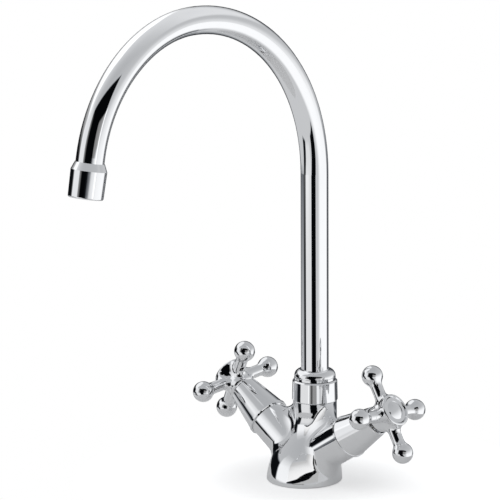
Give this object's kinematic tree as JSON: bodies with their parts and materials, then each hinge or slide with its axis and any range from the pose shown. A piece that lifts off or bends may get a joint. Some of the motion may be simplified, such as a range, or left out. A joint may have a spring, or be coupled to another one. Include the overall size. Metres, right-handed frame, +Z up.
{
  "type": "bathroom mixer tap",
  "caption": "Chrome monobloc mixer tap: round foot, rising side branches with conical skirts and ball-ended cross handles, and a tall swivelling swan-neck spout with an aerator.",
  "frame": {"origin": "centre of the foot's underside, on the deck", "axes": "+Z up, -Y to the front along the spout, +X to the right-hand handle"},
  "size_m": [0.1768, 0.2478, 0.3265],
  "materials": {
    "body_chrome": "polished",
    "tube_chrome": "polished",
    "handle_chrome": "polished",
    "brass": "machined",
    "steel": "bright",
    "rubber": "matt",
    "plastic": "moulded",
    "ceramic": "lapped"
  },
  "bodies": {
    "tap_body": {"mixer_body": "body_chrome", "base_seal": "rubber", "collar_nut": "body_chrome", "slip_ring": "plastic", "left_skirt": "handle_chrome", "left_valve_bonnet": "brass", "left_bonnet_washer": "rubber", "left_seat_seal": "rubber", "left_fixed_disc": "ceramic", "right_skirt": "handle_chrome", "right_valve_bonnet": "brass", "right_bonnet_washer": "rubber", "right_seat_seal": "rubber", "right_fixed_disc": "ceramic"},
    "spout": {"spout_tail": "body_chrome", "spout_tube": "tube_chrome", "lower_spout_o_ring": "rubber", "upper_spout_o_ring": "rubber", "outlet_nozzle": "tube_chrome", "aerator_washer": "rubber", "aerator_insert": "plastic", "aerator_screen": "plastic"},
    "left_handle": {"left_cross_handle": "handle_chrome", "left_handle_screw": "steel", "left_index_cap": "handle_chrome", "left_spindle": "brass", "left_spindle_o_ring": "rubber", "left_circlip": "steel", "left_moving_disc": "ceramic"},
    "right_handle": {"right_cross_handle": "handle_chrome", "right_handle_screw": "steel", "right_index_cap": "handle_chrome", "right_spindle": "brass", "right_spindle_o_ring": "rubber", "right_circlip": "steel", "right_moving_disc": "ceramic"}
  },
  "joints": [
    {"name": "spout_swivel", "type": "hinge", "parent": "tap_body", "child": "spout", "pos_m": [0, 0.0102, 0.052], "axis": [0, 0, 1], "continuous": true},
    {"name": "left_handle_turn", "type": "hinge", "parent": "tap_body", "child": "left_handle", "pos_m": [-0.06734, 0.00592, 0.05441], "axis": [-0.8428, 0.0515, 0.5358], "range_deg": [0, 90]},
    {"name": "right_handle_turn", "type": "hinge", "parent": "tap_body", "child": "right_handle", "pos_m": [0.06734, 0.00592, 0.05441], "axis": [0.8428, 0.0515, 0.5358], "range_deg": [-90, 0]}
  ]
}
